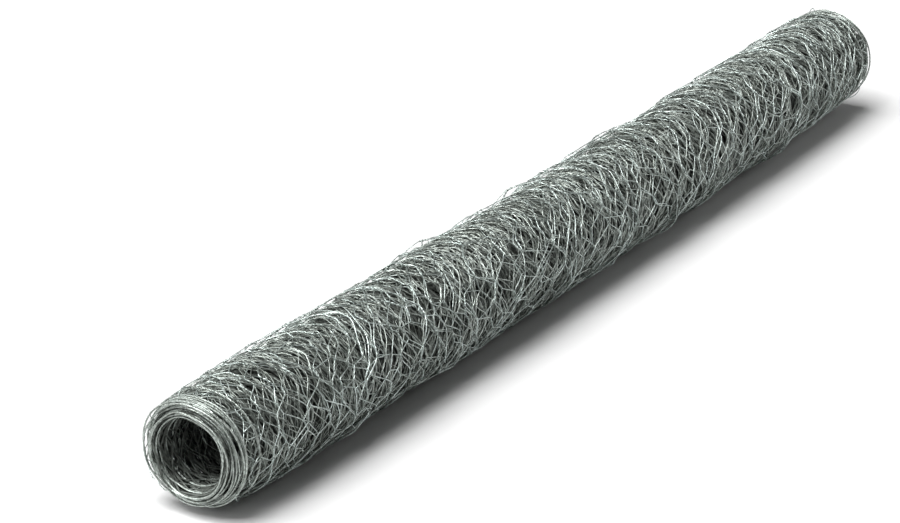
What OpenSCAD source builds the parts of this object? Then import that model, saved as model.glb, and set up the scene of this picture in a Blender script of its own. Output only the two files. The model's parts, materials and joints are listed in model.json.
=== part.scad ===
// Roll of galvanised hexagonal wire netting, lying on its side.
// Millimetres. The roll runs along X, with its lowest line on the floor at Z = 0
// and the origin under the middle of its length. The netting is wound round
// nothing, so the bore is open from end to end. Both ends are crowned: a turn near
// the bore stands out furthest, the ones inside it are sunk, and the ones outside
// it are set back, the outermost most of all.

/* [Roll] */
// Width of the netting, which is the length of the turn that stands out furthest
netting_width = 1000; // [300:10:2000]
// Diameter over the fullest part of the roll
outer_d = 94; // [75:1:250]
// Diameter of the open bore
bore_d = 51; // [20:1:68]

/* [Turns] */
// Number of turns from the bore to the outside
turns = 22; // [6:1:40]
// The turn that stands out furthest, counted from the bore at 0
crest_turn = 4; // [1:1:5]
// How far the innermost turn is sunk behind it at each end
mouth_depth = 18; // [0:0.5:25]
// How far the turns outside it are set back at each end
dome_depth = 9; // [0:0.5:25]
// How much further the outermost turn is set back
last_set_back = 15; // [0:0.5:25]
// Depth of the gap between two turns where it shows at an end
turn_gap_depth = 2; // [0.5:0.1:6]
// Share of a turn's thickness that its selvedge fills
selvedge_share = 0.6; // [0.3:0.05:0.9]

/* [Outside] */
// Number of bulges along the roll
bulge_count = 6; // [3:1:16]
// How far the hollows between the bulges lie under the crests
bulge_height = 1.2; // [0:0.1:3]
// How far the outermost turn draws in at each end
shoulder_drop = 3.4; // [0.5:0.1:5]
// Length over which the outermost turn draws in
shoulder_length = 160; // [10:5:250]

/* [Hidden] */

galvanised_grey = [0.56, 0.59, 0.57];
facets = 180;
shoulder_steps = 12;
steps_per_bulge = 8;

outer_r = outer_d / 2;
bore_r = bore_d / 2;
end_r = outer_r - shoulder_drop;
turn_pitch = (end_r - bore_r) / turns;
last_turn = turns - 1;
body_steps = bulge_count * steps_per_bulge;

// How far turn k, counted from the bore, lies behind the crest turn at each end.
function sunk(k) = mouth_depth * pow((crest_turn - k) / crest_turn, 2);
function domed(k) = dome_depth * pow((k - crest_turn) / (last_turn - crest_turn), 2);
function crown(k) =
    k < crest_turn ? sunk(k) : domed(k) + (k == last_turn ? last_set_back : 0);

// Where the selvedge of turn k stands at the near (-X) and far (+X) end.
function near_end(k) = crown(k) - netting_width / 2;
function far_end(k) = netting_width / 2 - crown(k);

// Inner and outer edge of the selvedge of turn k. The first and last turn reach
// the bore and the outside, and the rest sit in the middle of their pitch.
function turn_in(k) =
    k == 0 ? bore_r : bore_r + turn_pitch * (k + (1 - selvedge_share) / 2);
function turn_out(k) =
    k == last_turn ? end_r : bore_r + turn_pitch * (k + (1 + selvedge_share) / 2);
function gap_r(k) = bore_r + turn_pitch * (k + 1);
function gap_near(k) = max(near_end(k), near_end(k + 1)) + turn_gap_depth;
function gap_far(k) = min(far_end(k), far_end(k + 1)) - turn_gap_depth;

// Section of the turns at each end, as [radius, place along the roll].
near_turns = [
    for (k = [0 : last_turn])
        for (p = [
            [turn_in(k), near_end(k)],
            [turn_out(k), near_end(k)],
            if (k < last_turn) [gap_r(k), gap_near(k)]
        ]) p
];
far_turns = [
    for (k = [last_turn : -1 : 0])
        for (p = [
            if (k < last_turn) [gap_r(k), gap_far(k)],
            [turn_out(k), far_end(k)],
            [turn_in(k), far_end(k)]
        ]) p
];

body_length = far_end(last_turn) - near_end(last_turn) - 2 * shoulder_length;

// The shoulder is a quarter of an ellipse from the selvedge up to the body.
function shoulder_r(t) = end_r + shoulder_drop * sqrt(1 - pow(1 - t, 2));

// Depth of the hollows at share u of the body. Every crest reaches outer_r.
function hollow(u) = bulge_height * (1 - cos(360 * bulge_count * u)) / 2;

near_shoulder = [
    for (i = [1 : shoulder_steps - 1])
        let (t = i / shoulder_steps)
            [shoulder_r(t), near_end(last_turn) + shoulder_length * t]
];
body = [
    for (i = [0 : body_steps])
        let (u = i / body_steps)
            [outer_r - hollow(u), near_end(last_turn) + shoulder_length + body_length * u]
];
far_shoulder = [
    for (i = [shoulder_steps - 1 : -1 : 1])
        let (t = i / shoulder_steps)
            [shoulder_r(t), far_end(last_turn) - shoulder_length * t]
];

module netting_roll() {
    color(galvanised_grey)
        translate([0, 0, outer_r])
            rotate([0, 90, 0])
                rotate_extrude($fn = facets)
                    polygon(concat(near_turns, near_shoulder, body, far_shoulder, far_turns));
}

netting_roll();
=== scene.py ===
"""Looks of a roll of galvanised hexagonal wire netting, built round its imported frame.

The roll lies along X on the floor at Z = 0, and all lengths are in metres. The
netting is modelled flat, as a place across its width and a distance along it, and
is then wound on a spiral that keeps to the frame's bore, length and outside.
"""

from __future__ import annotations

import json
import logging
import math
from dataclasses import dataclass, field, fields
from enum import Enum
from typing import Any, Union

import bpy
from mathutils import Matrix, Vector

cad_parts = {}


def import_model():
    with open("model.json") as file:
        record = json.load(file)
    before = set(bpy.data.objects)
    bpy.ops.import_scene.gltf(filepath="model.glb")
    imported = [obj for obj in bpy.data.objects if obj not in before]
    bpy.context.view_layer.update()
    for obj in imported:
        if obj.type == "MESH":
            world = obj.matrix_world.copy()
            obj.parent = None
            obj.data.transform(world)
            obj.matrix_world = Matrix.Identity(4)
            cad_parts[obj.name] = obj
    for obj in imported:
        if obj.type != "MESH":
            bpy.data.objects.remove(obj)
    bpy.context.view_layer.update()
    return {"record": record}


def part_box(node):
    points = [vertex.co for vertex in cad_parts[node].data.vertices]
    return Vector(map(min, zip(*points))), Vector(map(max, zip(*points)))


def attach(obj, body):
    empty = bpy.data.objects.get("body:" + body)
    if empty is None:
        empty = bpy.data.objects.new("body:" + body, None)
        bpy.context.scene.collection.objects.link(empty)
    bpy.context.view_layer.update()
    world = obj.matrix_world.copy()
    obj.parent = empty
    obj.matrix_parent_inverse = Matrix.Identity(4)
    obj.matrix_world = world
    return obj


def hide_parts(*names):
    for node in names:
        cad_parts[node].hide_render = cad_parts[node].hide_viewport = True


LOG = logging.getLogger("netting_roll")

BODY = "root"
NODE = "netting_roll"

# Standard deviation of the noise node's colour about its middle of 0.5
NOISE_SPREAD = 0.125
# Share of a round that spreads any number of places evenly round it
GOLDEN_SHARE = 0.618
# Mean of the square of a place that runs evenly from -1 to 1
MEAN_SQUARE = 1.0 / 3.0

# What is added to the seed, so that each kind of wandering is drawn by itself
DRIFT_DRAW = 10.0
SPRING_DRAW = 100.0
BUNCH_DRAW = 200.0
WIRE_END_DRAW = 300.0
LUMP_DRAW = 400.0


# ---------------------------------------------------------------- node trees


class Field:
    """A number that differs from point to point, held as an output of a node tree."""

    def __init__(self, tree: bpy.types.NodeTree, socket: bpy.types.NodeSocket) -> None:
        """Wraps a socket.

        Args:
            tree: The tree that the socket is in.
            socket: The output that gives the number.
        """
        self.tree = tree
        self.socket = socket

    def math(self, operation: str, *others: Number) -> Field:
        """Adds a math node.

        Args:
            operation: Blender's name for the operation.
            others: The other operands, in order.

        Returns:
            The node's result.
        """
        node = self.tree.nodes.new("ShaderNodeMath")
        node.operation = operation
        for slot, value in zip(node.inputs, (self, *others)):
            plug(self.tree, slot, value)
        return Field(self.tree, node.outputs[0])

    def __add__(self, other: Number) -> Field:
        """Gives self + other."""
        return self.math("ADD", other)

    def __sub__(self, other: Number) -> Field:
        """Gives self - other."""
        return self.math("SUBTRACT", other)

    def __rsub__(self, other: Number) -> Field:
        """Gives other - self."""
        return (self * -1.0) + other

    def __mul__(self, other: Number) -> Field:
        """Gives self * other."""
        return self.math("MULTIPLY", other)

    def __truediv__(self, other: Number) -> Field:
        """Gives self / other."""
        return self.math("DIVIDE", other)

    def __mod__(self, other: Number) -> Field:
        """Gives what is left of self after whole multiples of other."""
        return self.math("FLOORED_MODULO", other)

    __radd__ = __add__
    __rmul__ = __mul__

    def floor(self) -> Field:
        """Gives the whole number at or below self."""
        return self.math("FLOOR")

    def root(self) -> Field:
        """Gives the square root of self."""
        return self.math("SQRT")

    def squared(self) -> Field:
        """Gives self times itself."""
        return self * self

    def cos(self) -> Field:
        """Gives the cosine of self, in radians."""
        return self.math("COSINE")

    def sin(self) -> Field:
        """Gives the sine of self, in radians."""
        return self.math("SINE")

    def size(self) -> Field:
        """Gives self without its sign."""
        return self.math("ABSOLUTE")

    def at_least(self, low: Number) -> Field:
        """Gives self, or low where that is more."""
        return self.math("MAXIMUM", low)

    def at_most(self, high: Number) -> Field:
        """Gives self, or high where that is less."""
        return self.math("MINIMUM", high)

    def share(self) -> Field:
        """Gives self held between 0 and 1."""
        return self.at_least(0.0).at_most(1.0)

    def hill(self) -> Field:
        """Gives 0 where self is 0 or 1, and rises to 1 halfway between."""
        return self * (1.0 - self) * 4.0

    def eased(self) -> Field:
        """Gives self, a share, starting and ending gently."""
        return self.squared() * (3.0 - self * 2.0)


Number = Union[Field, float, int]


def plug(tree: bpy.types.NodeTree, slot: bpy.types.NodeSocket, value: Any) -> None:
    """Puts a value into a node's input.

    Args:
        tree: The tree that the node is in.
        slot: The input.
        value: A field or an output socket to link, or a plain value to set.
    """
    if isinstance(value, Field):
        tree.links.new(value.socket, slot)
    elif isinstance(value, bpy.types.NodeSocket):
        tree.links.new(value, slot)
    else:
        slot.default_value = value


class NodeMaker:
    """Adds nodes to a tree and links them."""

    def __init__(self, tree: bpy.types.NodeTree) -> None:
        """Keeps the tree that the nodes go into."""
        self.tree = tree

    def node(
        self, kind: str, inputs: dict[str, Any] | None = None, **settings: Any
    ) -> bpy.types.Node:
        """Adds one node.

        Args:
            kind: The node's type.
            inputs: Input name to a field, a socket or a plain value.
            settings: Properties of the node itself.

        Returns:
            The new node.
        """
        made = self.tree.nodes.new(kind)
        for name, value in settings.items():
            setattr(made, name, value)
        for name, value in (inputs or {}).items():
            plug(self.tree, made.inputs[name], value)
        return made


class WireTree(NodeMaker):
    """A Geometry Nodes tree that draws wires through points and gives them a round section."""

    def __init__(self, name: str) -> None:
        """Starts the tree.

        Args:
            name: The tree's name.
        """
        super().__init__(bpy.data.node_groups.new(name, "GeometryNodeTree"))
        self.tree.interface.new_socket(
            "Geometry", in_out="OUTPUT", socket_type="NodeSocketGeometry"
        )
        self.entry = self.tree.nodes.new("NodeGroupInput")

    def named(self, name: str, kind: str = "Float") -> Field:
        """Adds a named input to the tree.

        Args:
            name: The input's name.
            kind: Float, Int or Material.

        Returns:
            The input as a field.
        """
        self.tree.interface.new_socket(
            name, in_out="INPUT", socket_type=f"NodeSocket{kind}"
        )
        return Field(self.tree, self.entry.outputs[name])

    def count(self) -> Field:
        """Gives each point's place in the list of points."""
        return Field(self.tree, self.node("GeometryNodeInputIndex").outputs[0])

    def vector(self, x: Number, y: Number, z: Number) -> bpy.types.NodeSocket:
        """Gives a vector made of three numbers."""
        made = self.node("ShaderNodeCombineXYZ", {"X": x, "Y": y, "Z": z})
        return made.outputs[0]

    def noise(
        self, x: Field, y: Field, z: Number, seed: Field
    ) -> tuple[Field, Field, Field]:
        """Adds smooth noise.

        Args:
            x: Place along the first axis, in wavelengths.
            y: Place along the second.
            z: Place along the third.
            seed: What the noise is drawn from.

        Returns:
            Three unlike numbers round 0, with a standard deviation of 1.
        """
        made = self.node(
            "ShaderNodeTexNoise",
            {
                "Vector": self.vector(x, y, z),
                "W": seed,
                "Scale": 1.0,
                "Detail": 0.0,
            },
            noise_dimensions="4D",
        )
        parts = self.node("ShaderNodeSeparateXYZ", {"Vector": made.outputs["Color"]})
        first, second, third = (
            (Field(self.tree, s) - 0.5) / NOISE_SPREAD for s in parts.outputs
        )
        return first, second, third

    def finish(
        self,
        points: Field,
        place: bpy.types.NodeSocket,
        wire: Field,
        radius: Field,
        sides: Field,
        material: Field,
    ) -> None:
        """Ends the tree: points become wires, which get their section and material.

        Args:
            points: How many points there are.
            place: Where each point goes.
            wire: Which wire each point is on.
            radius: The wire's radius.
            sides: The number of sides of the wire's section.
            material: The wire's material.
        """
        cloud = self.node("GeometryNodePoints", {"Count": points, "Position": place})
        curves = self.node(
            "GeometryNodePointsToCurves",
            {"Points": cloud.outputs[0], "Curve Group ID": wire},
        )
        section = self.node(
            "GeometryNodeCurvePrimitiveCircle", {"Resolution": sides, "Radius": radius}
        )
        tubes = self.node(
            "GeometryNodeCurveToMesh",
            {
                "Curve": curves.outputs[0],
                "Profile Curve": section.outputs[0],
                "Fill Caps": True,
            },
        )
        smooth = self.node(
            "GeometryNodeSetShadeSmooth", {"Geometry": tubes.outputs[0]}
        )
        real = self.node(
            "GeometryNodeRealizeInstances", {"Geometry": smooth.outputs[0]}
        )
        dressed = self.node(
            "GeometryNodeSetMaterial",
            {"Geometry": real.outputs[0], "Material": material},
        )
        self.node("NodeGroupOutput", {"Geometry": dressed.outputs[0]})


def grown(
    name: str, tree: bpy.types.NodeTree, values: dict[str, Any]
) -> bpy.types.Object:
    """Makes a plain mesh object of what a Geometry Nodes tree gives.

    Args:
        name: The object's name.
        tree: The tree.
        values: Input name to value.

    Returns:
        The object, at the origin and with no modifier left.
    """
    piece = bpy.data.objects.new(name, bpy.data.meshes.new(name))
    bpy.context.scene.collection.objects.link(piece)
    modifier = piece.modifiers.new(name, "NODES")
    modifier.node_group = tree
    for item in tree.interface.items_tree:
        if item.item_type == "SOCKET" and item.in_out == "INPUT":
            modifier[item.identifier] = values[item.name]
    depsgraph = bpy.context.evaluated_depsgraph_get()
    evaluated = piece.evaluated_get(depsgraph)
    mesh = bpy.data.meshes.new_from_object(evaluated, depsgraph=depsgraph)
    empty = piece.data
    piece.modifiers.clear()
    piece.data = mesh
    bpy.data.meshes.remove(empty)
    mesh.name = name
    return piece


# ------------------------------------------------------------------ finishes


@dataclass(frozen=True)
class GalvanisedZinc:
    """Hot-dipped zinc on steel wire: grey with a green cast, with duller and brighter spots.

    Attributes:
        name: The material's name.
        dull: Colour of the weathered patches.
        bright: Colour of the fresh spots.
        patch: Size of the patches.
        spangle: Size of the crystals in the zinc.
        crystal_share: How far the crystals decide the colour, and not the patches.
        tones: Darkest and lightest tone, which get the dull and the bright colour.
        grain: Lowest and highest grain, which get the lowest and highest roughness.
        roughness: Lowest and highest roughness.
        metallic: How metallic the surface is.
        relief: Height of the runs and lumps in the zinc.
        bump: Strength with which they show.
    """

    name: str
    dull: tuple[float, float, float]
    bright: tuple[float, float, float]
    patch: float = 0.022
    spangle: float = 0.0022
    crystal_share: float = 0.35
    tones: tuple[float, float] = (0.32, 0.68)
    grain: tuple[float, float] = (0.3, 0.7)
    roughness: tuple[float, float] = (0.30, 0.55)
    metallic: float = 0.85
    relief: float = 0.00012
    bump: float = 0.6

    def material(self) -> bpy.types.Material:
        """Builds the material.

        Returns:
            The material, with its pattern on Object coordinates.
        """
        made = bpy.data.materials.new(self.name)
        made.use_nodes = True
        nodes = NodeMaker(made.node_tree)
        made.node_tree.nodes.clear()
        at = nodes.node("ShaderNodeTexCoord").outputs["Object"]
        patches = nodes.node(
            "ShaderNodeTexNoise",
            {"Vector": at, "Scale": 1 / self.patch, "Detail": 3.0, "Roughness": 0.6},
        )
        crystals = nodes.node(
            "ShaderNodeTexVoronoi", {"Vector": at, "Scale": 1 / self.spangle}
        )
        grain = nodes.node(
            "ShaderNodeTexNoise",
            {"Vector": at, "Scale": 1 / self.spangle, "Detail": 2.0},
        )
        tone = nodes.node(
            "ShaderNodeMix",
            {
                "Factor": self.crystal_share,
                "A": patches.outputs["Fac"],
                "B": crystals.outputs["Color"],
            },
            data_type="FLOAT",
        )
        ramp = nodes.node("ShaderNodeValToRGB", {"Fac": tone.outputs["Result"]})
        low, high = ramp.color_ramp.elements
        low.position, high.position = self.tones
        low.color = (*self.dull, 1.0)
        high.color = (*self.bright, 1.0)
        gloss = nodes.node(
            "ShaderNodeMapRange",
            {
                "Value": grain.outputs["Fac"],
                "From Min": self.grain[0],
                "From Max": self.grain[1],
                "To Min": self.roughness[0],
                "To Max": self.roughness[1],
            },
        )
        bump = nodes.node(
            "ShaderNodeBump",
            {
                "Height": grain.outputs["Fac"],
                "Strength": self.bump,
                "Distance": self.relief,
            },
        )
        shader = nodes.node(
            "ShaderNodeBsdfPrincipled",
            {
                "Base Color": ramp.outputs["Color"],
                "Metallic": self.metallic,
                "Roughness": gloss.outputs["Result"],
                "Normal": bump.outputs["Normal"],
            },
        )
        nodes.node("ShaderNodeOutputMaterial", {"Surface": shader.outputs["BSDF"]})
        return made


class ZincShade(Enum):
    """The zinc of some turns: the wire's own colour on the outer turns, and copies with
    painted shade, darker for turns packed deeper.
    """

    FRESH = GalvanisedZinc(
        "zinc_fresh", (0.325, 0.365, 0.34), (0.75, 0.84, 0.81), roughness=(0.24, 0.50)
    )
    # Painted shade: these three are the same zinc painted darker and darker, for the shade
    # that falls into deeper turns; the darkest one is also rougher.
    SETTLED = GalvanisedZinc("zinc_settled", (0.28, 0.307, 0.282), (0.65, 0.71, 0.67))
    TARNISHED = GalvanisedZinc("zinc_tarnished", (0.18, 0.20, 0.18), (0.43, 0.47, 0.435))
    DULL = GalvanisedZinc(
        "zinc_dull", (0.062, 0.068, 0.061), (0.18, 0.197, 0.18), roughness=(0.55, 0.75)
    )


# ------------------------------------------------------------------- netting


@dataclass(frozen=True)
class WireDetail:
    """How finely the wires of some turns are drawn.

    Attributes:
        twist_steps: Points along one twist.
        slant_steps: Points from one twist to the next.
        twist_turns: Turns that two wires make round each other in a twist.
        swell: How much thicker the wire is drawn than it is.
        crowding: How many wires are drawn for each real one, so that hidden turns fill up.
        sides: Sides of the wire's section.
    """

    twist_steps: int
    slant_steps: int
    twist_turns: float
    swell: float = 1.0
    crowding: int = 1
    sides: int = 3


class Fineness(Enum):
    """The detail that a band of turns gets, by how well it is seen.

    The hidden bands have more and thicker wires than real netting, so that no light
    from the floor shows through the roll.
    """

    OUTSIDE = WireDetail(twist_steps=11, slant_steps=5, twist_turns=1.5)
    NEAR_OUTSIDE = WireDetail(twist_steps=6, slant_steps=3, twist_turns=1.0)
    UNDER = WireDetail(3, 1, twist_turns=1.0, swell=1.15, crowding=2)
    BURIED = WireDetail(1, 1, twist_turns=1.0, swell=2.8, crowding=2)


@dataclass(frozen=True)
class Netting:
    """Hexagonal netting laid flat.

    Attributes:
        width: Width from selvedge to selvedge.
        mesh: Distance between the two twists of a hexagon.
        row_pitch: Length of netting in which the pattern repeats.
        twist_length: Length of one twist.
        wire: Diameter of the wire.
        swerve: How far a wire curves between two twists, from 0, straight, to 1.
    """

    width: float
    mesh: float = 0.025
    row_pitch: float = 0.042
    twist_length: float = 0.009
    wire: float = 0.0009
    swerve: float = 0.4

    @property
    def wires(self) -> int:
        """Number of wires, one for each gap between two columns of twists."""
        return round(self.width / (self.mesh / 2))


@dataclass(frozen=True)
class Winding:
    """How the netting is wound up.

    Attributes:
        outer_radius: Radius over the fullest part.
        bore_radius: Radius of the open bore.
        turns: Number of turns.
        shoulder_drop: How far the outermost turn draws in at each end.
        shoulder_length: Length over which it draws in.
        hollow_depth: Depth of the hollows between the bulges.
        bulge_pitch: Distance from bulge to bulge along the roll.
        crest_turn: The turn that stands out furthest at each end.
        mouth_depth: How far the turns sink from there to the bore.
        dome_depth: How far they are set back from there to the outside.
        last_set_back: How much further the last turn comes back.
        step_turns: Share of a turn in which the last turn comes back.
        lump: Typical distance that the body's lumps stand out or in.
        lump_length: Length of the roll from lump to lump.
        bow: How far the roll is bent, its ends towards +Y and its middle towards -Y.
        lean: How far the bore's turns lie towards +Y where they come out at an end.
        sag: How far they hang down there.
        bunch_turns: Turns over which neighbouring turns shift out or in together.
        bunch: Typical distance that they shift.
        ridge_turns: Turns that bunch into one ridge on an end.
        ridge: How far the turns of a ridge draw together.
        ridge_drift: How far bunching shifts the ridges, as an angle.
        ragged: How far a ridge stands out of the hollow beside it, halved.
        waist: How far the outer turns sink behind their thick selvedges.
        mouth_length: Length from an end in which the turns lean and have their waist.
        free_edge: Angle from the top, towards -Y, at which the netting starts and ends.
    """

    outer_radius: float
    bore_radius: float
    turns: int = 22
    shoulder_drop: float = 0.0034
    shoulder_length: float = 0.16
    hollow_depth: float = 0.0012
    bulge_pitch: float = 0.105
    crest_turn: int = 4
    mouth_depth: float = 0.018
    dome_depth: float = 0.009
    last_set_back: float = 0.015
    step_turns: float = 0.3
    lump: float = 0.0010
    lump_length: float = 0.06
    bow: float = 0.005
    lean: float = 0.0010
    sag: float = 0.0006
    bunch_turns: float = 3.6
    bunch: float = 0.0009
    ridge_turns: float = 2.6
    ridge: float = 0.0003
    ridge_drift: float = 0.6
    ragged: float = 0.0011
    waist: float = 0.0050
    mouth_length: float = 0.036
    free_edge: float = math.radians(-150)

    def turn_pitch(self, netting: Netting) -> float:
        """Gives how much further out each turn lies than the last."""
        return (self.outer_radius - self.bore_radius - 2 * netting.wire) / self.turns

    def first_radius(self, netting: Netting) -> float:
        """Gives the radius at which the netting starts."""
        return self.bore_radius + netting.wire

    def run(self, netting: Netting, turn: float) -> float:
        """Works out how much netting is wound up to a turn.

        Args:
            netting: The netting.
            turn: The turn, counted from the bore.

        Returns:
            The length along the netting.
        """
        pitch = self.turn_pitch(netting)
        return math.tau * turn * (self.first_radius(netting) + pitch * turn / 2)


@dataclass(frozen=True)
class Drift:
    """Wandering of the wires at one scale, with typical distances.

    Attributes:
        name: What it is called in the tree.
        across: Wavelength across the netting.
        along: Wavelength along the netting.
        slide: How far the netting slides along the roll.
        stretch: How far it is stretched along itself.
        lift: How far it lies further out or in.
        held: Share of that which the selvedges hold back at the ends.
        loosened: How many times further the last turn wanders.
    """

    name: str
    across: float
    along: float
    slide: float
    stretch: float
    lift: float
    held: float
    loosened: float = 1.0


@dataclass(frozen=True)
class Mess:
    """How far the wound wires wander from their places.

    Attributes:
        drifts: Their wandering at each scale.
        spring: How far the loosest meshes of the last turns stand out.
        spring_wave: Wavelength of that.
        spring_from: How much looser than most a mesh is before it springs.
        loose_power: How steeply the looseness falls off from the last turn inwards.
        held_power: How steeply the selvedges' hold falls off from the ends inwards.
    """

    drifts: tuple[Drift, ...] = (
        Drift("Slow", 0.20, 0.20, 0.0110, 0.0110, 0.0007, held=0.76),
        Drift("Middle", 0.06, 0.08, 0.0080, 0.0060, 0.0004, held=0.90, loosened=1.2),
        Drift("Quick", 0.028, 0.028, 0.0022, 0.0022, 0.0003, held=0.90, loosened=1.5),
    )
    spring: float = 0.0038
    spring_wave: float = 0.06
    spring_from: float = 0.7
    loose_power: float = 14.0
    held_power: float = 8.0


def titled(sizes: Any, *left_out: str) -> dict[str, Any]:
    """Gives the values of a dataclass under the names of a tree's inputs.

    Args:
        sizes: The dataclass's instance.
        left_out: The attributes that aren't inputs.

    Returns:
        Input name, such as Row Pitch for row_pitch, to value.
    """
    return {
        f.name.replace("_", " ").title(): getattr(sizes, f.name)
        for f in fields(sizes)
        if f.name not in left_out
    }


def winding_inputs(
    netting: Netting, winding: Winding, mess: Mess, seed: float
) -> dict[str, float]:
    """Gives the values of the inputs that every wound tree has.

    Args:
        netting: The flat netting.
        winding: How it is wound.
        mess: How far the wires wander.
        seed: What the wandering is drawn from.

    Returns:
        Input name to value.
    """
    values = {
        "Netting Width": netting.width,
        "Wire Diameter": netting.wire,
        "First Radius": winding.first_radius(netting),
        "Turn Pitch": winding.turn_pitch(netting),
        "Seed": seed,
    }
    values |= titled(winding, "bore_radius") | titled(mess, "drifts")
    for drift in mess.drifts:
        values |= {f"{drift.name} {n}": v for n, v in titled(drift, "name").items()}
    return {name: float(value) for name, value in values.items()}


class WoundTree(WireTree):
    """A wire tree that can wind a place on the flat netting onto the roll."""

    def __init__(self, name: str) -> None:
        """Starts the tree and its winding inputs.

        Args:
            name: The tree's name.
        """
        super().__init__(name)
        mess = Mess()
        names = winding_inputs(Netting(1.0), Winding(1.0, 0.5), mess, 0.0)
        self.given = {n: self.named(n) for n in names}
        self.drifts = [drift.name for drift in mess.drifts]

    def turn_at(self, along: Field) -> Field:
        """Works out which turn a place on the netting is in.

        Args:
            along: Distance along the netting, from the bore.

        Returns:
            The turn, counted from the bore.
        """
        first, pitch = self.given["First Radius"], self.given["Turn Pitch"]
        start = first.squared() + pitch * along.at_least(0.0) / math.pi
        return (start.root() - first) / pitch

    def wander(self, across: Field, along: Field) -> tuple[Field, Field, Field]:
        """Gives how far the netting has wandered at a place.

        Args:
            across: Place across the netting, from its middle.
            along: Distance along the netting, from the bore.

        Returns:
            How far it has slid along the roll, stretched along the netting, and lifted.
        """
        g = self.given
        outward = (self.turn_at(along) / g["Turns"]).share()
        last = outward.math("POWER", g["Loose Power"])
        at_end = (across / (g["Netting Width"] / 2.0)).size().share()
        held = at_end.math("POWER", g["Held Power"])
        slid, stretched, lifted = 0.0, 0.0, 0.0
        for number, name in enumerate(self.drifts):
            noise = self.noise(
                across / g[f"{name} Across"],
                along / g[f"{name} Along"],
                0.0,
                g["Seed"] + DRIFT_DRAW * number,
            )
            loose = last * (g[f"{name} Loosened"] - 1.0) + 1.0
            free = 1.0 - held * g[f"{name} Held"]
            slid = noise[0] * g[f"{name} Slide"] * loose * free + slid
            stretched = noise[1] * g[f"{name} Stretch"] * loose * free + stretched
            lifted = noise[2] * g[f"{name} Lift"] + lifted
        sprung = self.noise(
            across / g["Spring Wave"],
            along / g["Spring Wave"],
            0.0,
            g["Seed"] + SPRING_DRAW,
        )[0]
        spring = (sprung - g["Spring From"]).at_least(0.0) * g["Spring"] * last
        tight = 1.0 - held * outward.squared()
        return slid, stretched, lifted * tight + spring * (1.0 - held)

    def into_last(self, turn: Field) -> Field:
        """Gives how far a turn has come back to where the last turn lies, from 0 to 1."""
        return ((turn - self.given["Turns"] + 1.0) / self.given["Step Turns"]).share()

    def wound(
        self,
        across: Field,
        along: Field,
        wandered: tuple[Field, Field, Field],
        side: Field,
        height: Field,
    ) -> bpy.types.NodeSocket:
        """Winds points onto the roll.

        Args:
            across: Place across the netting, from its middle.
            along: Distance along the netting, from the bore.
            wandered: How far the netting has wandered there.
            side: Offset along the roll.
            height: Offset out of the netting.

        Returns:
            The places on the roll.
        """
        g = self.given
        slid_by, stretched_by, lifted_by = wandered
        turn = self.turn_at(along + stretched_by)
        outward = (turn / g["Turns"]).share()
        half = g["Netting Width"] / 2.0
        crest = g["Crest Turn"]
        sunk = g["Mouth Depth"] * (1.0 - turn / crest).share().squared()
        domed = ((turn - crest) / (g["Turns"] - crest)).share().squared()
        last = self.into_last(turn)
        angle = turn * math.tau + g["Free Edge"]
        bundled = self.noise(
            turn / g["Bunch Turns"], angle.cos(), angle.sin(), g["Seed"] + BUNCH_DRAW
        )[0]
        ridge = turn / g["Ridge Turns"] * math.tau + bundled * g["Ridge Drift"]
        back = (
            sunk
            + g["Dome Depth"] * domed
            + g["Last Set Back"] * last
            + g["Ragged"] * ridge.cos() * (1.0 - last)
        )
        x = across * (1.0 - back / half) + slid_by + side
        inside = half - across.size()
        into_end = (1.0 - inside / g["Shoulder Length"]).share()
        drop = g["Shoulder Drop"] * (1.0 - (1.0 - into_end.squared()).root())
        wave = across / g["Bulge Pitch"] * math.tau
        hollow = g["Hollow Depth"] * (1.0 - wave.cos()) / 2.0 * (1.0 - into_end)
        lumpy = self.noise(
            across / g["Lump Length"], angle.cos(), angle.sin(), g["Seed"] + LUMP_DRAW
        )[0]
        lump = g["Lump"] * lumpy * (1.0 - into_end.squared())
        into_mouth = (1.0 - inside / g["Mouth Length"]).share()
        waist = g["Waist"] * into_mouth.hill() * (1.0 - last)
        radius = (
            g["First Radius"]
            + g["Turn Pitch"] * turn
            - (drop + hollow + waist - lump) * outward
            + (g["Bunch"] * bundled + g["Ridge"] * ridge.sin()) * outward.hill()
            + lifted_by
            + height
        )
        hanging = (1.0 - outward) * into_mouth.squared()
        bent = g["Bow"] * ((across / half).squared() - MEAN_SQUARE)
        y = radius * angle.sin() * -1.0 + g["Lean"] * hanging + bent
        z = radius * angle.cos() + g["Outer Radius"] - g["Sag"] * hanging
        z = z.at_least(g["Wire Diameter"] / 2.0)
        return self.vector(x, y, z)


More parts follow.
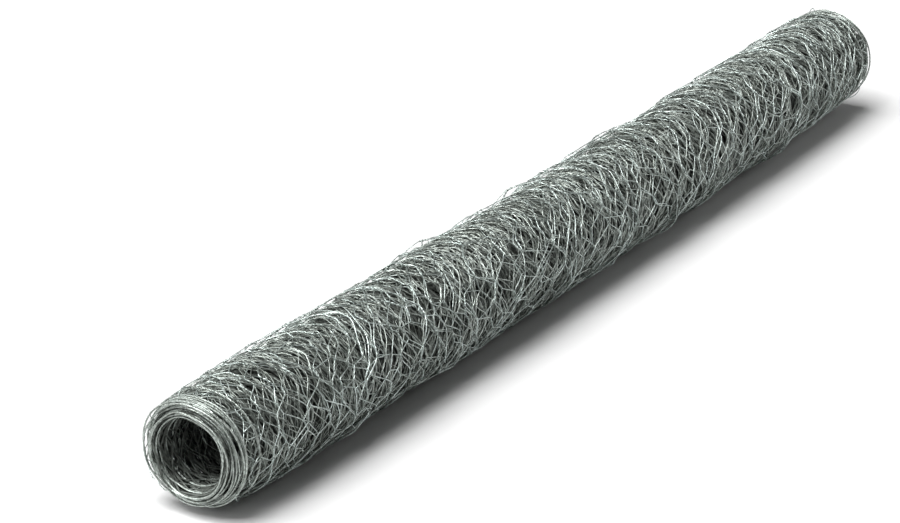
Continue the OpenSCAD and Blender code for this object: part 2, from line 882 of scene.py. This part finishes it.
def netting_tree() -> bpy.types.NodeTree:
    """Builds the tree of a band of wound netting.

    Every wire runs along the netting and is twisted with its left and its right
    neighbour in turn, so that four slants and two twists make a hexagon.

    Returns:
        The tree.
    """
    t = WoundTree("wound_netting")
    wires = t.named("Wires", "Int")
    first_half = t.named("First Half Row", "Int")
    halves = t.named("Half Rows", "Int")
    twist_steps = t.named("Twist Steps", "Int")
    slant_steps = t.named("Slant Steps", "Int")
    twist_turns = t.named("Twist Turns")
    sides = t.named("Sides", "Int")
    swell = t.named("Swell")
    row_pitch = t.named("Row Pitch")
    twist_length = t.named("Twist Length")
    swerve = t.named("Swerve")
    material = t.named("Material", "Material")

    half_steps = twist_steps + slant_steps
    per_wire = halves * half_steps + 1.0
    index = t.count()
    wire = ((index + 0.5) / per_wire).floor()
    step = index - wire * per_wire
    half = ((step + 0.5) / half_steps).floor()
    into = step - half * half_steps
    row = half + first_half
    twisted = (into / twist_steps).share()
    slanted = ((into - twist_steps) / slant_steps).share()

    # 0 while a wire is twisted with its left neighbour, 1 with its right one.
    right = (wire + row) % 2.0
    hand = 1.0 - right * 2.0
    column_gap = t.given["Netting Width"] / wires
    twist_across = (wire + right - wires / 2.0) * column_gap
    half_pitch = row_pitch / 2.0

    # The wire is straight between the ends of its twists, so it wanders as they do.
    slanting = slanted.math("GREATER_THAN", 0.0)
    share = twisted * (1.0 - slanting) + slanted
    start = (twist_across, row * half_pitch + (slanting - 0.5) * twist_length)
    end = (
        twist_across + slanting * hand * column_gap,
        row * half_pitch
        + twist_length / 2.0
        + slanting * (half_pitch - twist_length),
    )
    across, along = (a + (b - a) * share for a, b in zip(start, end))
    swerve = slanting * hand * column_gap * swerve
    across = across + swerve * (slanted.eased() - slanted)
    wandered = tuple(
        a + (b - a) * share for a, b in zip(t.wander(*start), t.wander(*end))
    )

    # The two wires of a twist are half a turn apart, and each leaves it on the
    # side that it came from.
    away = hand * (t.given["Wire Diameter"] / 2.0)
    angle = twisted * twist_turns * math.tau
    swing = away * angle.cos()
    side = swing - slanted * (away + swing)
    height = away * angle.sin()
    t.finish(
        points=wires * per_wire,
        place=t.wound(across, along, wandered, side, height),
        wire=wire,
        radius=t.given["Wire Diameter"] / 2.0 * swell,
        sides=sides,
        material=material,
    )
    return t.tree


def selvedge_tree() -> bpy.types.NodeTree:
    """Builds the tree of one selvedge, a strand of wires twisted along the netting's edge.

    Returns:
        The tree.
    """
    t = WoundTree("wound_selvedge")
    strands = t.named("Strands", "Int")
    steps = t.named("Steps", "Int")
    sides = t.named("Sides", "Int")
    edge = t.named("Edge")
    run = t.named("Run")
    lay = t.named("Lay Length")
    spread = t.named("Spread") * t.given["Wire Diameter"]
    bolder = t.named("Last Bolder")
    swell = t.named("Swell")
    material = t.named("Material", "Material")

    index = t.count()
    wire = ((index + 0.5) / steps).floor()
    along = (index - wire * steps) * run / (steps - 1.0)
    angle = (along / lay + wire / strands) * math.tau
    spread = spread * (t.into_last(t.turn_at(along)) * bolder + 1.0)
    across = edge * t.given["Netting Width"] / 2.0
    t.finish(
        points=strands * steps,
        place=t.wound(
            across,
            along,
            t.wander(across, along),
            angle.cos() * spread,
            angle.sin() * spread,
        ),
        wire=wire,
        radius=t.given["Wire Diameter"] / 2.0 * swell,
        sides=sides,
        material=material,
    )
    return t.tree


def wire_end_tree() -> bpy.types.NodeTree:
    """Builds the tree of the cut wire ends that curl out of the last turn's selvedge.

    Returns:
        The tree.
    """
    t = WoundTree("curled_wire_ends")
    ends = t.named("Count", "Int")
    steps = t.named("Steps", "Int")
    sides = t.named("Sides", "Int")
    edge = t.named("Edge")
    run = t.named("Run")
    girth = t.named("Girth")
    reach = t.named("Reach")
    sweep = t.named("Sweep")
    lift = t.named("Lift")
    first_spot = t.named("First Spot")
    margin = t.named("Margin")
    unlikeness = t.named("Unlikeness")
    length_spread = t.named("Length Spread")
    material = t.named("Material", "Material")

    index = t.count()
    wire = ((index + 0.5) / steps).floor()
    share = (index - wire * steps) / (steps - 1.0)
    spot = (wire * GOLDEN_SHARE + first_spot) % 1.0
    length, swept, lifted = t.noise(
        wire * unlikeness, spot, 0.0, t.given["Seed"] + WIRE_END_DRAW
    )
    across = edge * t.given["Netting Width"] / 2.0
    start = run - girth * (spot * (1.0 - margin * 2.0) + margin)
    along = start + sweep * swept * share.squared()
    side = edge * reach * (length * length_spread + 1.0) * (share * math.pi / 2.0).sin()
    rise = lift * ((share * math.pi).sin() * (lifted + 1.0) - share)
    t.finish(
        points=ends * steps,
        place=t.wound(across, along, t.wander(across, start), side, rise),
        wire=wire,
        radius=t.given["Wire Diameter"] / 2.0,
        sides=sides,
        material=material,
    )
    return t.tree


@dataclass(frozen=True)
class Band:
    """A run of turns that is one piece.

    Attributes:
        name: The piece's name.
        first: The turn at which it starts, counted from the bore.
        last: The turn at which it ends.
        fineness: How finely its wires are drawn.
        weathering: Its zinc: the wire's own colour, or a copy with painted shade for deeper
            turns.
    """

    name: str
    first: int
    last: int
    fineness: Fineness
    weathering: ZincShade


class RollEnd(Enum):
    """An end of the roll, by the side of the middle that it is on."""

    NEAR = -1.0
    FAR = 1.0

    def piece(self, what: str) -> str:
        """Gives the name of a piece at this end."""
        return f"{what}_{self.name.lower()}_end"


@dataclass(frozen=True)
class Selvedge:
    """The strand of twisted wires along an edge of the netting.

    Attributes:
        strands: Number of wires in it.
        lay_length: Length in which they go round once.
        spread: How far each lies from the middle, in diameters of the wire.
        swell: How much thicker the wire is drawn than it is.
        last_bolder: How much further apart they lie in the last turn, as a share.
        step: Distance between two points of it.
        sides: Sides of the wire's section.
    """

    strands: int = 3
    lay_length: float = 0.010
    spread: float = 0.34
    swell: float = 1.1
    last_bolder: float = 1.0
    step: float = 0.0018
    sides: int = 3


@dataclass(frozen=True)
class WireEnds:
    """The cut wire ends that curl out of the last turn's selvedge.

    Attributes:
        count: Number of them at each end of the roll.
        reach: How far a typical one stands out of the selvedge, along the roll.
        length_spread: How much longer or shorter they typically are, as a share.
        sweep: How far it curls round the roll.
        lift: How far it lifts off the roll.
        first_spot: Place of the first one in the last turn, as a share of it.
        margin: Share of the turn that is left free at its start and its end.
        unlikeness: How unlike each other two neighbours are, in wavelengths.
        steps: Points along one wire end.
        sides: Sides of the wire's section.
    """

    count: int = 16
    reach: float = 0.010
    length_spread: float = 0.35
    sweep: float = 0.010
    lift: float = 0.0013
    first_spot: float = 0.35
    margin: float = 0.05
    unlikeness: float = 1.7
    steps: int = 14
    sides: int = 4


@dataclass
class WoundNetting:
    """The netting of the roll, as bands of turns, two selvedges and their wire ends.

    Attributes:
        netting: The flat netting.
        winding: How it is wound.
        mess: How far the wires wander.
        edging: The selvedge along both edges.
        wire_ends: The wire ends at each end of the last turn.
        bands: The bands of turns, from the bore outwards.
        seed: What the wandering is drawn from.
    """

    netting: Netting
    winding: Winding
    mess: Mess = field(default_factory=Mess)
    edging: Selvedge = Selvedge()
    wire_ends: WireEnds = WireEnds()
    # Painted shade: all but the outer two bands get zinc painted darker, for the shade between
    # packed turns.
    bands: tuple[Band, ...] = (
        Band("netting_bore_turns", 0, 2, Fineness.NEAR_OUTSIDE, ZincShade.SETTLED),
        Band("netting_inner_turns", 2, 9, Fineness.BURIED, ZincShade.DULL),
        Band("netting_middle_turns", 9, 13, Fineness.BURIED, ZincShade.DULL),
        Band("netting_deep_turns", 13, 17, Fineness.UNDER, ZincShade.TARNISHED),
        Band("netting_under_turns", 17, 20, Fineness.NEAR_OUTSIDE, ZincShade.SETTLED),
        Band("netting_upper_turn", 20, 21, Fineness.OUTSIDE, ZincShade.FRESH),
        Band("netting_outer_turn", 21, 22, Fineness.OUTSIDE, ZincShade.FRESH),
    )
    seed: float = 8.0

    def grown(
        self, name: str, tree: bpy.types.NodeTree, values: dict[str, Any]
    ) -> bpy.types.Object:
        """Builds a piece with a wound tree.

        Args:
            name: The piece's name.
            tree: The tree.
            values: The values of the inputs that only this tree has.

        Returns:
            The piece.
        """
        shared = winding_inputs(self.netting, self.winding, self.mess, self.seed)
        return grown(name, tree, shared | values)

    def band(
        self, band: Band, tree: bpy.types.NodeTree, material: bpy.types.Material
    ) -> bpy.types.Object:
        """Builds one band of turns.

        Args:
            band: The band.
            tree: The netting's tree.
            material: The wire's material.

        Returns:
            The piece.
        """
        half_row = self.netting.row_pitch / 2
        first, last = (
            round(self.winding.run(self.netting, turn) / half_row)
            for turn in (band.first, band.last)
        )
        detail = band.fineness.value
        return self.grown(
            band.name,
            tree,
            titled(detail)
            | titled(self.netting)
            | {
                "Wires": self.netting.wires * detail.crowding,
                "First Half Row": first,
                "Half Rows": last - first,
                "Material": material,
            },
        )

    def selvedge(
        self, end: RollEnd, tree: bpy.types.NodeTree, material: bpy.types.Material
    ) -> bpy.types.Object:
        """Builds the selvedge at one end.

        Args:
            end: The end of the roll.
            tree: The selvedge's tree.
            material: The wire's material.

        Returns:
            The piece.
        """
        run = self.winding.run(self.netting, self.winding.turns)
        return self.grown(
            end.piece("selvedge"),
            tree,
            titled(self.edging)
            | {
                "Steps": round(run / self.edging.step),
                "Edge": end.value,
                "Run": run,
                "Material": material,
            },
        )

    def curled_ends(
        self, end: RollEnd, tree: bpy.types.NodeTree, material: bpy.types.Material
    ) -> bpy.types.Object:
        """Builds the wire ends that curl out of the last turn at one end.

        Args:
            end: The end of the roll.
            tree: The wire ends' tree.
            material: The wire's material.

        Returns:
            The piece.
        """
        return self.grown(
            end.piece("wire_ends"),
            tree,
            titled(self.wire_ends)
            | {
                "Edge": end.value,
                "Run": self.winding.run(self.netting, self.winding.turns),
                "Girth": math.tau * self.winding.outer_radius,
                "Material": material,
            },
        )

    def build(self) -> list[bpy.types.Object]:
        """Builds and dresses every piece.

        Returns:
            The pieces.
        """
        finishes = {w: w.value.material() for w in ZincShade}
        meshes, edges, curls = netting_tree(), selvedge_tree(), wire_end_tree()
        pieces = [self.band(b, meshes, finishes[b.weathering]) for b in self.bands]
        fresh, lightly_shaded_zinc = finishes[ZincShade.FRESH], finishes[ZincShade.SETTLED]
        # Painted shade: the selvedges of every turn get the zinc painted slightly darker.
        pieces += [self.selvedge(end, edges, lightly_shaded_zinc) for end in RollEnd]
        pieces += [self.curled_ends(end, curls, fresh) for end in RollEnd]
        for piece in pieces:
            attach(piece, BODY)
            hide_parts(NODE)
        return pieces


# --------------------------------------------------------------------- stage


@dataclass(frozen=True)
class PaleFloor:
    """A plain pale floor.

    Attributes:
        reach: Distance from its middle to each side.
        colour: Its colour.
        roughness: Its roughness.
        shine: How strongly it reflects.
    """

    reach: float = 40.0
    colour: tuple[float, float, float] = (0.66, 0.66, 0.66)
    roughness: float = 0.9
    shine: float = 0.1

    def build(self) -> bpy.types.Object:
        """Builds the floor.

        Returns:
            The floor.
        """
        mesh = bpy.data.meshes.new("floor")
        r = self.reach
        mesh.from_pydata([(-r, -r, 0), (r, -r, 0), (r, r, 0), (-r, r, 0)], [], [(0, 1, 2, 3)])
        made = bpy.data.objects.new("floor", mesh)
        bpy.context.scene.collection.objects.link(made)
        material = bpy.data.materials.new("floor_paper")
        material.use_nodes = True
        shader = material.node_tree.nodes["Principled BSDF"]
        shader.inputs["Base Color"].default_value = (*self.colour, 1.0)
        shader.inputs["Roughness"].default_value = self.roughness
        shader.inputs["Specular IOR Level"].default_value = self.shine
        mesh.materials.append(material)
        return made


def aimed_light(
    name: str, kind: str, place: tuple[float, float, float], energy: float
) -> bpy.types.Object:
    """Adds a light that shines at the middle of the roll.

    Args:
        name: The light's name.
        kind: Blender's name for the kind of light.
        place: Where it stands.
        energy: How strongly it shines.

    Returns:
        The light's object.
    """
    data = bpy.data.lights.new(name, kind)
    data.energy = energy
    made = bpy.data.objects.new(name, data)
    bpy.context.scene.collection.objects.link(made)
    made.location = place
    made.rotation_euler = (-Vector(place)).to_track_quat("-Z", "Y").to_euler()
    return made


@dataclass(frozen=True)
class SoftLight:
    """A square studio light.

    Attributes:
        name: The light's name.
        place: Where it stands.
        size: Length of its side.
        power: Its power in watts.
    """

    name: str
    place: tuple[float, float, float]
    size: float
    power: float

    def build(self) -> bpy.types.Object:
        """Builds the light.

        Returns:
            The light's object.
        """
        made = aimed_light(self.name, "AREA", self.place, self.power)
        made.data.size = self.size
        made.visible_camera = False
        return made


@dataclass(frozen=True)
class WideSun:
    """A far-off overhead light that lights the whole floor alike.

    Attributes:
        name: The light's name.
        place: The direction that it comes from.
        width: Angle that it fills in the sky, in degrees.
        strength: Its strength in watts to the square metre.
    """

    name: str
    place: tuple[float, float, float]
    width: float
    strength: float

    def build(self) -> bpy.types.Object:
        """Builds the light.

        Returns:
            The light's object.
        """
        made = aimed_light(self.name, "SUN", self.place, self.strength)
        made.data.angle = math.radians(self.width)
        return made


@dataclass(frozen=True)
class Studio:
    """The lights, the surrounding light and the camera.

    Attributes:
        lights: The lights.
        surround: Brightness of the light from all round.
        azimuth: Camera's direction in degrees, where 0 looks along +Y.
        elevation: Camera's height above the floor's plane in degrees.
        distance: Distance from the camera to the point that it looks at.
        aim: The point that the camera looks at.
        lens: Focal length in millimetres.
        sensor: Width of the camera's sensor in millimetres.
    """

    lights: tuple[Union[WideSun, SoftLight], ...] = (
        WideSun("key_light", (-0.9, 0.8, 3.4), 46.0, 4.7),
        SoftLight("glint_light", (-0.9, 0.3, 2.6), 0.3, 8.0),
        SoftLight("front_light", (-2.4, 0.3, 0.8), 1.2, 12.0),
        SoftLight("left_light", (-1.7, 1.6, 1.1), 0.9, 12.0),
        SoftLight("far_light", (1.5, -0.9, 0.8), 0.8, 5.0),
    )
    surround: float = 0.06
    azimuth: float = -58.17
    elevation: float = 22.52
    distance: float = 3.006
    aim: tuple[float, float, float] = (-0.0524, 0.0672, 0.022)
    lens: float = 149.6
    sensor: float = 36.0

    def build(self) -> None:
        """Builds the lights, the world and the camera."""
        for light in self.lights:
            light.build()
        world = bpy.data.worlds.new("studio")
        world.use_nodes = True
        world.node_tree.nodes["Background"].inputs["Strength"].default_value = self.surround
        world.node_tree.nodes["Background"].inputs["Color"].default_value = (1, 1, 1, 1)
        bpy.context.scene.world = world
        bpy.context.scene.view_settings.view_transform = "Standard"
        self.camera()

    def camera(self) -> bpy.types.Object:
        """Builds the camera and makes it the scene's.

        Returns:
            The camera's object.
        """
        data = bpy.data.cameras.new("camera")
        data.lens = self.lens
        data.sensor_width = self.sensor
        made = bpy.data.objects.new("camera", data)
        bpy.context.scene.collection.objects.link(made)
        turn, tilt = math.radians(self.azimuth), math.radians(self.elevation)
        back = Vector(
            (
                math.sin(turn) * math.cos(tilt),
                -math.cos(turn) * math.cos(tilt),
                math.sin(tilt),
            )
        )
        made.location = Vector(self.aim) + back * self.distance
        made.rotation_euler = (-back).to_track_quat("-Z", "Y").to_euler()
        bpy.context.scene.camera = made
        return made


# ---------------------------------------------------------------------- main


def report(pieces: list[bpy.types.Object]) -> None:
    """Logs each piece with its number of faces.

    Args:
        pieces: The pieces.
    """
    for piece in pieces:
        LOG.info("%s: %d faces", piece.name, len(piece.data.polygons))


def main() -> None:
    logging.basicConfig(level=logging.INFO, format="%(name)s: %(message)s")
    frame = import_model()
    low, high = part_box(NODE)
    bore = next(m for m in frame["record"]["mounts"] if m["name"] == "bore")
    winding = Winding(
        outer_radius=(high.z - low.z) / 2,
        bore_radius=bore["dims"]["r_mm"] / 1000,
    )
    netting = Netting(width=high.x - low.x)
    report(WoundNetting(netting, winding).build())
    PaleFloor().build()
    Studio().build()


if __name__ == "__main__":
    main()
